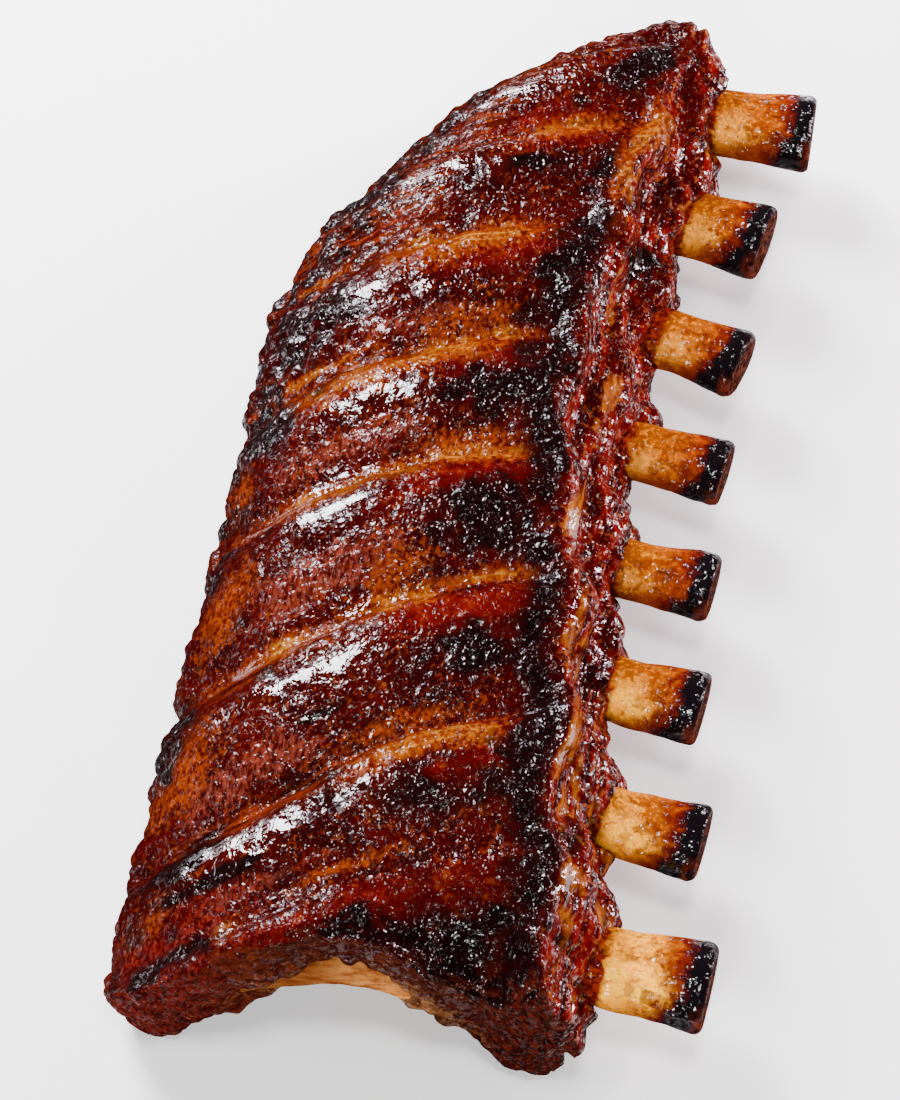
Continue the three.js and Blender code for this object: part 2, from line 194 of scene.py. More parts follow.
def beads(x, y, z):
    """Rounded beads from 0 to 1, about one in every unit cell."""
    cell = [np.floor(part) for part in (x, y, z)]
    nearest = np.full(np.shape(x), 9.0)
    for di, dj, dk in product((-1, 0, 1), repeat=3):
        i, j, k = cell[0] + di, cell[1] + dj, cell[2] + dk
        centre_x = i + 0.5 + 0.4 * lattice_value(i, j, k)
        centre_y = j + 0.5 + 0.4 * lattice_value(i + 31, j, k)
        centre_z = k + 0.5 + 0.4 * lattice_value(i, j + 57, k)
        apart = (x - centre_x) ** 2 + (y - centre_y) ** 2 + (z - centre_z) ** 2
        nearest = np.minimum(nearest, apart)
    return np.clip(1 - nearest / 0.55, 0, 1) ** 0.7


# Plan and section of the slab.
def left_edge(y):
    along = np.clip((y - TAPER_FROM) / (FAR_END - TAPER_FROM), 0, 1)
    across = (1 - along**TAPER_ROUNDNESS) ** (1 / TAPER_ROUNDNESS)
    return FAR_TIP_X - (FAR_TIP_X - LEFT_EDGE) * across


def rib_place(y):
    """How far along the ribs a row lies: 0 at the first rib, 1 at the second, and so on."""
    roots = RIB_ROOTS[:, 1]
    i = np.clip(np.searchsorted(-roots, -np.asarray(y, float), side="right") - 1, 0, len(roots) - 2)
    return i + (roots[i] - y) / (roots[i] - roots[i + 1])


def row_at_place(place):
    roots = RIB_ROOTS[:, 1]
    i = np.clip(np.floor(place).astype(int), 0, len(roots) - 2)
    return mix(roots[i], roots[i + 1], place - i)


right_bow = through(
    (-124, 51.5), (-104, 51), (-68, 46.5), (-32, 43), (3, 40),
    (40, 38.3), (76, 39.5), (115, 43), (150, 47), (172, 44),
)
crest_inset = through((-124, 9), (-50, 10), (30, 14.5), (85, 15.5), (125, 12), (165, 8))
height_share = through((-124, 1.0), (60, 1.0), (130, 0.92), (176, 0.74))
hump_swing = through((0, -39), (0.13, -35), (0.34, -26), (0.59, -13), (0.85, -4), (1, 0))
swing_share = through((-87, 1.2), (-50, 1.35), (-14, 1.08), (21, 0.78), (96, 0.76), (176, 0.6))
row_share = through((-124, 0), (-90, 0.4), (-50, 0.95), (-14, 1.05), (21, 0.85), (96, 0.76), (176, 0.5))
near_line = through(
    (-58, -130), (-45, -133), (-25, -127), (-5, -120), (15, -121), (32, -125), (45, -127), (54, -125),
)
far_line = through((22, 177), (34, 178), (48, 164))
last_rib_line = through((0.15, -121), (0.32, -119), (0.52, -115), (0.72, -112))


def right_edge(y):
    return right_bow(y) + SCALLOP_DEPTH * np.cos(2 * math.pi * (rib_place(y) + 0.3))


def crest_line(y):
    return right_edge(y) - crest_inset(y)


def swing(share, y):
    return hump_swing(share) * swing_share(y)


def section_outline(y):
    """The slab's closed cross-section at each y, as four runs of points (x, z)."""
    left, right = left_edge(y), right_edge(y)
    width = right - left
    crest = right - crest_inset(y) * np.minimum(1, width / 60)
    high = height_share(y)
    rise = ARCH_RISE * high * np.minimum(1, width / 80)
    crown = CROWN_HEIGHT * high
    shoulder = CREST_HEIGHT * high
    edge = LEFT_THICKNESS * mix(0.85, 1, high)
    droop = END_DROOP * (1 - ease(NEAR_END, NEAR_END + DROOP_REACH, y))
    foot = np.full(len(y), -FOOT_DEPTH)

    def over(share, z):
        return mix(left, crest, share), z

    def under(share, z):
        return mix(left, right, share), z

    return [
        [
            over(0.035, edge),
            over(0.15, mix(edge, crown, 0.42)),
            over(0.33, mix(edge, crown, 0.8)),
            over(0.56, mix(edge, crown, 0.98) - droop * 0.1),
            over(0.75, crown * 0.985 - droop * 0.8),
            over(0.9, crown * 0.955 - droop),
        ],
        [
            (crest, shoulder * 0.985),
            (mix(crest, right, 0.55), mix(BONE_LEVEL, shoulder, 0.66)),
            (mix(crest, right, 0.9), mix(BONE_LEVEL, shoulder, 0.28)),
            (right, BONE_LEVEL - 3 + 0 * y),
            (mix(left, right, 0.965), 5 + 0 * y),
        ],
        [
            under(0.93, foot), under(0.87, foot), under(0.78, rise * 0.3), under(0.64, rise * 0.8),
            under(0.48, rise), under(0.33, rise * 0.78), under(0.2, rise * 0.3),
        ],
        [under(0.125, foot), under(0.06, foot), under(0.015, edge * 0.25), under(0.0, edge * 0.58)],
    ]


def between(points, i, t, closed):
    """A point of the Catmull-Rom curve through points, a share t of the way past number i."""
    count = points.shape[-2]
    if closed:
        before, start, end, after = [points[..., (i + k) % count, :] for k in (-1, 0, 1, 2)]
    else:
        start, end = points[..., i, :], points[..., i + 1, :]
        before = points[..., i - 1, :] if i > 0 else 2 * start - end
        after = points[..., i + 2, :] if i + 2 < count else 2 * end - start
    leave, arrive = (end - before) / 2, (after - start) / 2
    return (
        start + leave * t + (3 * (end - start) - 2 * leave - arrive) * t**2
        + (2 * (start - end) + leave + arrive) * t**3
    )


def evenly(points, steps):
    """Each row of points cut into steps of equal length."""
    lengths = np.linalg.norm(np.diff(points, axis=1), axis=2)
    reach = np.concatenate([np.zeros((len(points), 1)), np.cumsum(lengths, axis=1)], axis=1)
    made = np.empty((len(points), steps + 1, points.shape[2]))
    for row in range(len(points)):
        goal = np.linspace(0, reach[row, -1], steps + 1)
        for axis in range(points.shape[2]):
            made[row, :, axis] = np.interp(goal, reach[row], points[row, :, axis])
    return made


table_y = np.arange(NEAR_END - 2, FAR_END + 2, TABLE_STEP)


def section_table():
    """The four runs of the section at every row of table_y, finely and evenly spaced."""
    outline = section_outline(table_y)
    points = np.array([point for run in outline for point in run]).transpose(2, 0, 1)
    runs = []
    start = 0
    for run in outline:
        fine = [
            between(points, start + step // RUN_STEPS, (step % RUN_STEPS) / RUN_STEPS, True)
            for step in range(len(run) * RUN_STEPS)
        ]
        fine.append(points[:, (start + len(run)) % points.shape[1]])
        runs.append(evenly(np.stack(fine, axis=1), TABLE_FINENESS))
        start += len(run)
    return runs


top_run, right_run, bottom_run, left_run = section_table()


def on_run(run, y, share):
    row = np.clip((y - table_y[0]) / TABLE_STEP, 0, len(table_y) - 1.001)
    column = np.clip(share, 0, 0.999999) * TABLE_FINENESS
    i, j = row.astype(int), column.astype(int)
    u, v = (row - i)[..., None], (column - j)[..., None]
    low = run[i, j] * (1 - v) + run[i, j + 1] * v
    high = run[i + 1, j] * (1 - v) + run[i + 1, j + 1] * v
    return low * (1 - u) + high * u


def section_point(y, s, t):
    """A point (x, z) of the section at y: s across from left to right, t up from the underside."""
    one, none = np.ones_like(s), np.zeros_like(s)
    wide, tall = s[..., None], t[..., None]
    blend = on_run(bottom_run, y, 1 - s) * (1 - tall) + on_run(top_run, y, s) * tall
    blend += on_run(left_run, y, t) * (1 - wide) + on_run(right_run, y, 1 - t) * wide
    blend -= on_run(bottom_run, y, one) * (1 - wide) * (1 - tall)
    blend -= on_run(bottom_run, y, none) * wide * (1 - tall)
    blend -= on_run(top_run, y, none) * (1 - wide) * tall
    blend -= on_run(top_run, y, one) * wide * tall
    return blend


def slab_rows():
    """Rows along the slab and how far each is drawn in, so that the ends have round edges."""
    near, far = NEAR_END + NEAR_REACH, FAR_END - FAR_REACH
    turn = np.arange(END_ROWS) / END_ROWS * math.pi / 2
    steps = round(float(rib_place(near) - rib_place(far)) * ROWS_PER_RIB)
    inner = row_at_place(np.linspace(rib_place(near), rib_place(far), steps + 1))
    y = np.concatenate([near - NEAR_REACH * np.cos(turn), inner, far + FAR_REACH * np.cos(turn[::-1])])
    near_draw, far_draw = NEAR_DRAW * (1 - np.sin(turn)), FAR_DRAW * (1 - np.sin(turn[::-1]))
    return y, np.concatenate([near_draw, 0 * inner, far_draw])


def slab_surface():
    """Vertices and quads of the bare slab, the six sides of a bent box of grid steps."""
    row_y, row_draw = slab_rows()
    along = len(row_y) - 1

    def place(a, b, c):
        s, t = a / ACROSS, c / THROUGH
        y = row_y[b] + hump_swing(s) * row_share(row_y[b])
        point = section_point(y, s, t)
        inward = section_point(y, np.clip(s, 0.07, 0.93), np.full_like(t, 0.5))
        point = mix(point, inward, row_draw[b][..., None])
        near = 1 - ease(NEAR_END, NEAR_END + END_FADE, y)
        far = ease(FAR_END - END_FADE, FAR_END, y)
        x = point[..., 0]
        y = y + near * (near_line(x) - NEAR_END) + far * (far_line(x) - FAR_END)
        return np.stack([x, y, point[..., 1]], axis=-1)

    vertices, quads = [], []
    count = 0
    sides = [
        (ACROSS, along, lambda p, q: (p, q, np.full_like(p, THROUGH)), False),
        (ACROSS, along, lambda p, q: (p, q, np.zeros_like(p)), True),
        (along, THROUGH, lambda p, q: (np.zeros_like(p), p, q), True),
        (along, THROUGH, lambda p, q: (np.full_like(p, ACROSS), p, q), False),
        (ACROSS, THROUGH, lambda p, q: (p, np.zeros_like(p), q), False),
        (ACROSS, THROUGH, lambda p, q: (p, np.full_like(p, along), q), True),
    ]
    for wide, tall, corner, flip in sides:
        p, q = np.meshgrid(np.arange(wide + 1), np.arange(tall + 1), indexing="ij")
        vertices.append(place(*corner(p, q)).reshape(-1, 3))
        number = count + np.arange((wide + 1) * (tall + 1)).reshape(wide + 1, tall + 1)
        quad = np.stack([number[:-1, :-1], number[1:, :-1], number[1:, 1:], number[:-1, 1:]], axis=-1)
        quad = quad.reshape(-1, 4)
        quads.append(quad[:, ::-1] if flip else quad)
        count += number.size
    vertices, quads = np.concatenate(vertices), np.concatenate(quads)
    kept, same = np.unique(np.round(vertices, 3), axis=0, return_inverse=True)
    return kept, same.reshape(-1)[quads]


def smooth_normals(vertices, quads):
    corner = vertices[quads]
    facing = np.cross(corner[:, 2] - corner[:, 0], corner[:, 3] - corner[:, 1])
    normals = np.zeros_like(vertices)
    for k in range(4):
        np.add.at(normals, quads[:, k], facing)
    return normals / np.maximum(np.linalg.norm(normals, axis=1), 1e-9)[:, None]


def hump_phase(x, y):
    """A point's place from one valley, at 0, to the next towards the near end, at 1, with the
    valley's number, the share across the slab and the bent row that the point is on."""
    share = np.clip((x - left_edge(y)) / (right_edge(y) - left_edge(y)), 0, 1)
    row = y
    for _ in range(4):
        row = y - swing(share, row)
    place = rib_place(row) + 0.5
    return place - np.floor(place), np.floor(place), share, row


# Patches of the crust, each (share across, place along, half width, half length): place counts
# the valleys from the far end, and the share runs from the left edge at 0 to the right at 1.
WET_PATCHES = [
    (0.36, 3.4, 0.15, 0.11), (0.16, 4.05, 0.09, 0.07), (0.32, 4.2, 0.12, 0.05),
    (0.4, 5.3, 0.08, 0.09), (0.25, 5.28, 0.12, 0.05), (0.17, 5.0, 0.05, 0.07),
    (0.34, 5.03, 0.08, 0.04), (0.27, 6.26, 0.12, 0.17), (0.34, 6.45, 0.08, 0.06),
    (0.22, 3.97, 0.12, 0.05), (0.33, 3.9, 0.08, 0.03), (0.42, 4.93, 0.05, 0.04),
    (0.46, 2.45, 0.05, 0.07), (0.35, 1.33, 0.15, 0.12), (0.5, 1.5, 0.06, 0.15),
    (0.54, 5.0, 0.03, 0.09), (0.87, 1.93, 0.02, 0.08), (0.92, 4.6, 0.015, 0.2),
    (0.92, 5.3, 0.015, 0.15), (0.92, 6.3, 0.015, 0.2), (0.93, 7.3, 0.015, 0.2),
    (0.3, 0.45, 0.14, 0.1), (0.55, 6.45, 0.03, 0.06), (0.27, 2.35, 0.04, 0.05),
    (0.5, 6.3, 0.04, 0.06),
]
CHAR_PATCHES = [
    (0.72, 0.35, 0.12, 0.4), (0.77, 1.5, 0.06, 0.35), (0.58, 1.46, 0.14, 0.07),
    (0.78, 2.4, 0.08, 0.55), (0.72, 3.45, 0.13, 0.36), (0.56, 3.5, 0.07, 0.12),
    (0.7, 4.52, 0.14, 0.26), (0.81, 4.0, 0.05, 0.6), (0.72, 5.58, 0.16, 0.18),
    (0.58, 5.5, 0.08, 0.08), (0.84, 6.4, 0.06, 0.6), (0.7, 6.62, 0.12, 0.1),
    (0.76, 7.62, 0.14, 0.26), (0.6, 7.45, 0.06, 0.12), (0.1, 1.2, 0.13, 0.25),
    (0.13, 2.38, 0.14, 0.3), (0.08, 3.26, 0.09, 0.22), (0.03, 4.2, 0.04, 0.2),
    (0.1, 6.15, 0.12, 0.15), (0.03, 5.2, 0.04, 0.3), (0.12, 6.97, 0.15, 0.14),
    (0.2, 6.48, 0.16, 0.07), (0.36, 5.58, 0.05, 0.05), (0.93, 2.15, 0.05, 0.2),
    (0.03, 2.95, 0.04, 0.12), (0.5, 7.28, 0.07, 0.09), (0.64, 7.42, 0.1, 0.14),
]
GOLDEN_PATCHES = [
    (0.58, 1.05, 0.1, 0.14), (0.5, 2.12, 0.11, 0.13), (0.37, 2.04, 0.07, 0.12),
    (0.3, 3.12, 0.15, 0.13), (0.5, 3.09, 0.12, 0.12), (0.65, 2.95, 0.09, 0.06),
    (0.3, 4.03, 0.2, 0.08), (0.6, 3.97, 0.12, 0.08), (0.51, 4.98, 0.07, 0.08),
    (0.68, 4.93, 0.12, 0.04), (0.26, 5.0, 0.15, 0.07), (0.6, 6.13, 0.14, 0.12),
    (0.25, 6.95, 0.025, 0.08), (0.12, 1.95, 0.1, 0.03), (0.15, 2.86, 0.15, 0.035),
    (0.82, 1.2, 0.04, 0.34), (0.845, 1.65, 0.025, 0.24),
]
AMBER_PATCHES = [
    (0.08, 4.55, 0.06, 0.2), (0.07, 5.5, 0.07, 0.2), (0.04, 3.7, 0.04, 0.2),
    (0.57, 5.88, 0.12, 0.08), (0.5, 4.74, 0.06, 0.12), (0.46, 6.85, 0.1, 0.05),
    (0.6, 3.85, 0.12, 0.06), (0.58, 2.82, 0.12, 0.08), (0.07, 6.6, 0.05, 0.12),
]
RED_PATCHES = [
    (0.45, 0.85, 0.25, 0.18), (0.64, 1.25, 0.12, 0.1), (0.6, 2.3, 0.14, 0.11),
    (0.62, 3.25, 0.14, 0.11), (0.6, 4.2, 0.16, 0.11), (0.68, 5.2, 0.17, 0.14),
    (0.68, 6.36, 0.14, 0.09), (0.62, 7.2, 0.2, 0.14), (0.3, 3.28, 0.14, 0.04),
    (0.2, 1.75, 0.14, 0.1), (0.3, 7.15, 0.16, 0.08), (0.12, 6.75, 0.1, 0.16),
]
MATTE_PATCHES = [
    (0.3, 3.7, 0.17, 0.16), (0.3, 4.65, 0.2, 0.19), (0.22, 5.72, 0.17, 0.16),
    (0.35, 2.72, 0.14, 0.08), (0.3, 6.7, 0.15, 0.08),
]
SIDE_PATCHES = [
    (0.83, 1.2, 0.05, 0.3), (0.85, 1.75, 0.03, 0.2), (0.93, 2.8, 0.02, 0.24),
    (0.94, 3.4, 0.016, 0.34), (0.91, 4.5, 0.014, 0.3), (0.93, 5.4, 0.014, 0.2),
    (0.93, 7.15, 0.024, 0.16), (0.93, 6.3, 0.014, 0.26),
]


def patched(patches, share, place, ragged, fade=1.5):
    """1 inside the patches, falling to 0 by fade times their size, with edges shifted by ragged."""
    out = np.zeros(np.shape(share))
    for at_share, at_place, half_share, half_place in patches:
        away = np.hypot((share - at_share) / half_share, (place - at_place) / half_place)
        out = np.maximum(out, 1 - ease(0.2, fade, away + ragged))
    return out


def main_relief(x, y, z, normal):
    """The relief that the solids have too: humps, side folds, collars and nodules."""
    crest = crest_line(y)
    upward = ease(0.15, 0.6, normal[:, 2]) * (1 - ease(crest - 10, crest + 2, x))
    sideways = ease(0.1, 0.6, normal[:, 0]) * ease(5, 14, z)
    edgeward = 1 - ease(0.2, 0.75, np.abs(normal[:, 2]))
    phase, number, _, _ = hump_phase(x, y)
    swell = np.hypot(np.sin(math.pi * phase**HUMP_LEAN), VALLEY_ROUNDNESS) - 0.64
    out = upward * HUMP_HEIGHT * swell * mix(1, LAST_HUMP_SHARE, ease(6.6, 7.1, number + phase))
    fold = (CREST_HEIGHT - z) / 15 + 0.22 * np.sin(y / 21) + 0.12 * noise(y / 14, z / 20, 3.0)
    out += sideways * SIDE_FOLD_DEPTH * np.cos(2 * math.pi * fold)
    for (_, root_y), width in zip(RIB_ROOTS, RIB_WIDTHS):
        ring = np.hypot(y - root_y, (z - BONE_LEVEL) * 1.2) - width * 0.62
        out += sideways * COLLAR_HEIGHT * bell(ring, 4.5)
    lumps = noise(x / NODULE_SIZE + 7, y / NODULE_SIZE, z / NODULE_SIZE + 3)
    small = noise(x / 5 + 1, y / 5 + 5, z / 5)
    out += mix(TOP_NODULE_HEIGHT, EDGE_NODULE_HEIGHT, edgeward) * (0.7 * lumps + 0.3 * small)
    return out


def side_ridges(x, y, z):
    """Long folds along the side face, 1 on their backs."""
    waver = 0.5 * noise(x / 9, y / 11, z / 9)
    return 1 - np.abs(noise(x / 5.5 + waver, y / 30 + 2, z / 3.8 + waver))


def far_left(share, place):
    """1 over the knobbly part at the far left."""
    return (1 - ease(0.16, 0.32, share)) * (1 - ease(3.0, 3.7, place))


def knobs(x, y, z):
    """Dark knobs of meat, 1 on their tops."""
    return beads(x / 6.4 + 2, y / 6.4, z / 6.4)


def fine_relief(x, y, z, normal):
    """The crust's own roughness: strands, beads of glaze and grain, calm where it is wet."""
    crest = crest_line(y)
    edgeward = 1 - ease(0.25, 0.8, np.abs(normal[:, 2]))
    sideways = ease(0.1, 0.6, normal[:, 0]) * ease(crest - 6, crest, x)
    cut = ease(0.4, 0.8, -normal[:, 1]) * (1 - ease(NEAR_END, NEAR_END + 10, y))
    under = ease(0.3, 0.7, -normal[:, 2])
    phase, number, share, row = hump_phase(x, y)
    top = ease(0.3, 0.7, normal[:, 2])
    near_crest = top * bell(x - crest, 6)
    wet = patched(WET_PATCHES, share, number + phase, 0)
    out = 0.32 * noise(x / 3.4, y / 4.2, z / 3.4 + 9)
    out += (0.16 + 0.1 * edgeward) * noise(x / 1.6, y / 2.0, z / 1.6 + 4)
    out += top * 0.25 * noise(x / 2.2 + 0.1 * y, y / 9, z / 9)
    drawn = 1 - np.abs(noise(x / 17, row / 3.1, 0.5 + 0.3 * noise(x / 9, y / 9, z / 9)))
    stranded = 0.3 + 0.5 * ease(40, 100, y) * (1 - ease(0.4, 0.65, share))
    out += top * stranded * (1 - 0.8 * ease(6.5, 6.8, number + phase)) * (drawn**2 - 0.5)
    out *= 1 - 0.7 * wet
    out += (1.6 * edgeward + 0.7 * near_crest) * beads(x / 5.6, y / 5.6 + 3, z / 5.6)
    out += 0.55 * (edgeward + near_crest) * beads(x / 2.9 + 5, y / 2.9, z / 2.9)
    out += 1.5 * far_left(share, number + phase) * (knobs(x, y, z) - 0.4)
    out += sideways * 1.6 * (side_ridges(x, y, z) ** 3 - 0.5)
    out += cut * 0.45 * noise(x / 6, y / 3, z / 1.8 + x / 9)
    return out * (1 - 0.6 * under)


def crusted_slab():
    vertices, quads = slab_surface()
    normals = smooth_normals(vertices, quads)
    x, y, z = vertices.T
    out = main_relief(x, y, z, normals) + fine_relief(x, y, z, normals)
    vertices = vertices + normals * (out * ease(0, 5, z))[:, None]
    vertices[vertices[:, 2] < FLAT_UNDER, 2] = 0
    return vertices, quads


def crust_marks(vertices, normals):
    """How golden, charred, wet and so on the crust is, each from 0 to 1, with its share across the
    slab and its place along it."""
    x, y, z = vertices.T
    crest = crest_line(y)
    phase, number, share, _ = hump_phase(x, y)
    place = number + phase
    top = ease(0.05, 0.4, normals[:, 2])
    blotch = noise(x / 11, y / 11, z / 15)
    patch = noise(x / 6 + 4, y / 6, z / 8)
    speck = noise(x / 2.6, y / 2.6, z / 2.6 + 8)
    ragged = 0.3 * blotch + 0.3 * patch + 0.2 * speck
    side = ease(0.15, 0.55, normals[:, 0]) * ease(crest - 4, crest + 2, x)

    golden = top * patched(GOLDEN_PATCHES, share, place, ragged, 2.1)
    amber = patched(AMBER_PATCHES, share, place, ragged, 1.9)
    red = patched(RED_PATCHES, share, place, ragged, 1.9)
    char = patched(CHAR_PATCHES, share, place, 1.6 * ragged)
    char = np.maximum(char, 0.75 * ease(0.4, 0.85, blotch + 0.4 * patch) * (1 - golden))
    char = np.maximum(char, top * bell(crest - 5 - x, 6) * ease(-1.2, -0.2, patch) * ease(1.6, 2, place))
    knob = far_left(share, place) * ease(0.4, 0.8, knobs(x, y, z)) * ease(-0.3, 0.15, patch)
    char = np.maximum(char, 0.9 * knob)
    cut = ease(0.35, 0.7, -normals[:, 1]) * (1 - ease(NEAR_END - 4, NEAR_END + 12, y))
    under = ease(0.2, 0.6, -normals[:, 2])
    brown = np.clip(np.maximum(cut, under) * (1 + 0.15 * patch), 0, 1)
    bare_share = (x - LEFT_EDGE) / (right_edge(NEAR_END) - LEFT_EDGE)
    band = cut * bell(z - underside_height(bare_share, NEAR_END) - 4 - 4 * patch, 6) * bell(x - 2, 26)

    backs = side_ridges(x, y, z)
    pale = side * np.maximum(
        patched(SIDE_PATCHES, share, place, 1.5 * ragged, 2.0),
        0.9 * ease(0.83, 0.96, backs) * ease(-0.25, 0.35, blotch + 0.5 * patch),
    )
    wet = patched(WET_PATCHES, share, place, 0.8 * ragged)
    matte = top * patched(MATTE_PATCHES, share, place, ragged)
    strand = top * bell(phase - np.round(phase) - 0.04, 0.13) * ease(0.03, 0.12, share)
    strand *= (1 - ease(0.45, 0.62, share)) * (1 - ease(6.5, 6.8, place))
    strand = np.maximum(strand, 0.7 * top * (1 - ease(1.8, 2.4, place)) * (1 - ease(0.25, 0.5, share)))
    strand *= 1 - 0.7 * golden
    sparkle = patched(WET_PATCHES, share, place, ragged, 3.2)
    # Faces turned left and back: their coat is thinned, and their colour is darkened as painted shade.
    edge = ease(0.3, 0.75, -0.8 * normals[:, 0] + 0.6 * normals[:, 1])
    whole = 1 - brown
    return dict(
        golden=golden * whole, amber=amber * whole, red=red, char=char * whole, brown=brown,
        side=side, pale=pale * whole, wet=wet, matte=matte, edge=edge, band=band,
        strand=strand, sparkle=sparkle, share=share, place=place,
    )


# Ribs.
def underside_height(share, y):
    rise = ARCH_RISE * height_share(y) * np.minimum(1, (right_edge(y) - left_edge(y)) / 80)
    return rise * np.maximum(0, np.cos((share - 0.48) / 0.4 * math.pi / 2)) ** 0.9


def rib_path(number):
    """Points along a rib's middle, from its tip to its end under the arch."""
    (root_x, root_y), slope, bare = RIB_ROOTS[number], RIB_SLOPES[number], RIB_BARE[number]
    width = RIB_WIDTHS[number]
    points = [
        (root_x + bare, root_y + slope * bare, BONE_LEVEL + 0.4),
        (root_x + bare * 0.4, root_y + slope * bare * 0.4, BONE_LEVEL),
        (root_x - 6, root_y - 0.5, BONE_LEVEL),
    ]
    hidden = {0: FIRST_HIDDEN_SHARES, LAST_RIB: LAST_HIDDEN_SHARES}
    for share in hidden.get(number, HIDDEN_SHARES):
        y = last_rib_line(share) if number == LAST_RIB else root_y + swing(share, root_y) * 0.8
        x = mix(left_edge(y), right_edge(root_y), share)
        height = underside_height(share, y) + width * RIB_FLATNESS / 2 - RIB_PROUD
        points.append((float(x), float(y), max(float(height), LOWEST_RIB)))
    points = np.array(points)
    steps = product(range(len(points) - 1), range(PATH_STEPS))
    fine = [between(points, i, step / PATH_STEPS, False) for i, step in steps]
    return np.array(fine + [points[-1]])


def rib_rings(length):
    """Distance of every ring of a rib from its tip, and its size as a share of a full ring."""
    turn = np.arange(1, TIP_STEPS + 1) / TIP_STEPS * math.pi / 2
    shaft = np.linspace(TIP_ROUNDING + 0.6, length - 5, RIB_RINGS)
    face = np.zeros(len(FACE_RINGS))
    distances = [face, TIP_ROUNDING * (1 - np.cos(turn)), shaft, length - END_DISTANCES]
    scales = [FACE_RINGS, TIP_FACE + (1 - TIP_FACE) * np.sin(turn), np.ones(RIB_RINGS), END_RINGS]
    return np.concatenate(distances), np.concatenate(scales)


def rib_surface(number):
    """Vertices and faces of one rib, with the marks of each vertex for its material."""
    path = rib_path(number)
    bare, width = RIB_BARE[number], RIB_WIDTHS[number]
    reach = np.concatenate([[0], np.cumsum(np.linalg.norm(np.diff(path, axis=0), axis=1))])
    length = reach[-1]
    distance, scale = rib_rings(length)

    def on_path(at):
        return np.stack([np.interp(at, reach, path[:, k]) for k in range(3)], axis=1)

    centre = on_path(distance)
    ahead = on_path(distance + 0.5) - on_path(distance - 0.5)
    ahead /= np.linalg.norm(ahead, axis=1)[:, None]
    across = np.stack([-ahead[:, 1], ahead[:, 0], 0 * ahead[:, 0]], axis=1)
    across /= np.linalg.norm(across, axis=1)[:, None]
    upward = np.cross(ahead, across)

    turn = np.arange(RIB_SIDES) / RIB_SIDES * 2 * math.pi
    along, around = np.meshgrid(distance, turn, indexing="ij")
    cosine, sine = np.cos(around), np.sin(around)
    flare = mix(RIB_FLARE, 1, ease(0, bare * 0.8, distance))
    taper = mix(1, 0.8, ease(length * 0.5, length, distance))
    wide = (width / 2 * flare * taper * scale)[:, None]
    seed = number * 7.3
    swell = 0.35 * noise(along / 7 + seed, cosine * 1.2, sine * 1.2)
    swell += 0.14 * noise(along / 3 + seed, cosine * 4, sine * 4)
    swell += 0.25 * (1 - ease(0, 7, along)) * noise(along / 1.8, cosine * 4 + seed, sine * 4)
    swell *= scale[:, None]
    pinch = 1 - 0.035 * bell(sine + 0.45, 0.18) * (np.abs(cosine) > 0.2)
    side = cosine * (wide * pinch + swell)
    rise = sine * (wide * RIB_FLATNESS * pinch + swell)
    hollow = ahead * (END_HOLLOW * bell(scale[:, None] / 0.6, 1) * (distance[:, None] < 0.01))
    points = across[:, None] * side[..., None] + upward[:, None] * rise[..., None]
    points += (centre + hollow)[:, None]
    ends = np.stack([centre[0] + ahead[0] * END_HOLLOW, centre[-1] + ahead[-1] * 0.4])
    vertices = np.concatenate([points.reshape(-1, 3), ends])

    rings = len(distance)
    number_of = np.arange(rings * RIB_SIDES).reshape(rings, RIB_SIDES)
    after = np.roll(number_of, -1, axis=1)
    quads = np.stack([number_of[:-1], after[:-1], after[1:], number_of[1:]], axis=-1).reshape(-1, 4)
    faces = quads.tolist()
    first, last = rings * RIB_SIDES, rings * RIB_SIDES + 1
    faces += [[first, int(after[0, k]), int(number_of[0, k])] for k in range(RIB_SIDES)]
    faces += [[last, int(number_of[-1, k]), int(after[-1, k])] for k in range(RIB_SIDES)]

    def with_ends(values, at_ends=(0, 0)):
        """One value for each vertex: the rings' own, then those of the two end points."""
        return np.concatenate([np.broadcast_to(values, along.shape).reshape(-1), at_ends])

    tip = with_ends(along, (0, length))
    marks = dict(
        tip=tip, bare=tip / bare, lift=with_ends(LIFT_UP * sine - LIFT_NEAR * cosine),
        end_face=(1 - with_ends(scale[:, None])) * (tip < 5),
        paleness=np.full(len(tip), RIB_PALENESS[number]),
    )
    return vertices, faces, marks


def made_mesh(name, vertices, faces, marks):
    """A smooth object of these vertices, which carries its marks for the material."""
    mesh = bpy.data.meshes.new(name)
    mesh.from_pydata(((vertices - ORIGIN) * METRE).tolist(), [], faces)
    mesh.validate()
    mesh.shade_smooth()
    for mark, values in marks.items():
        layer = mesh.attributes.new(mark, "FLOAT", "POINT")
        layer.data.foreach_set("value", np.ascontiguousarray(values, dtype=np.float32))
    piece = bpy.data.objects.new(name, mesh)
    bpy.context.collection.objects.link(piece)
    return piece


